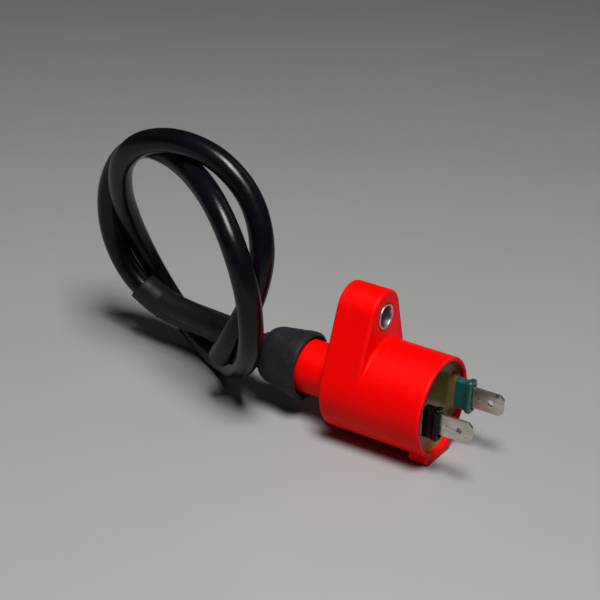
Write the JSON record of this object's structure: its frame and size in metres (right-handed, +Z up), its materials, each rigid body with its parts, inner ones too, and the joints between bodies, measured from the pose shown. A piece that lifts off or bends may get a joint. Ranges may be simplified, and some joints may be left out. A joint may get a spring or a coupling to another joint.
{
  "type": "ignition coil",
  "caption": "Potted small-engine ignition coil with a bolt ear, two 6.3 mm male blade terminals, and a curled high-tension lead held in its tower by a rubber boot.",
  "frame": {"origin": "centre of the base of the coil's box without its lead: midway between the terminal tips and the back of the boot, on the plane of symmetry, level with the sole of the foot", "axes": "+X along the coil axis towards the blade terminals, +Z up from the foot to the mounting ear, +Y to the ground-terminal side"},
  "size_m": [0.1377, 0.0459, 0.0806],
  "materials": {
    "housing_red": "satin moulded thermoplastic",
    "bushing_steel": "turned, bright",
    "potting_resin": "cast epoxy, glossy and slightly cloudy",
    "core_iron": "stamped silicon steel",
    "bobbin_plastic": "glass-filled nylon, natural",
    "copper": "enamelled copper wire",
    "contact_brass": "turned brass",
    "terminal_plated": "tin-plated brass, satin",
    "insulator_green": "soft glossy vinyl",
    "insulator_black": "soft glossy vinyl",
    "boot_rubber": "matte moulded rubber",
    "sleeve_rubber": "semi-matte extruded rubber",
    "lead_rubber": "smooth extruded rubber, soft sheen"
  },
  "bodies": {
    "root": {"coil_housing": "housing_red", "mount_bushing": "bushing_steel", "potting_compound": "potting_resin", "core_strip_1": "core_iron", "core_strip_2": "core_iron", "core_strip_3": "core_iron", "core_strip_4": "core_iron", "core_strip_5": "core_iron", "primary_bobbin": "bobbin_plastic", "primary_winding": "copper", "secondary_bobbin": "bobbin_plastic", "secondary_winding_1": "copper", "secondary_winding_2": "copper", "secondary_winding_3": "copper", "secondary_winding_4": "copper", "secondary_winding_5": "copper", "ht_contact": "contact_brass", "terminal_ground": "terminal_plated", "terminal_signal": "terminal_plated", "ground_insulator": "insulator_green", "signal_insulator": "insulator_black", "ground_wire": "copper", "signal_wire": "copper", "secondary_wire": "copper", "lead_boot": "boot_rubber", "lead_sleeve": "sleeve_rubber", "lead_jacket": "lead_rubber", "lead_conductor": "copper"}
  },
  "joints": []
}
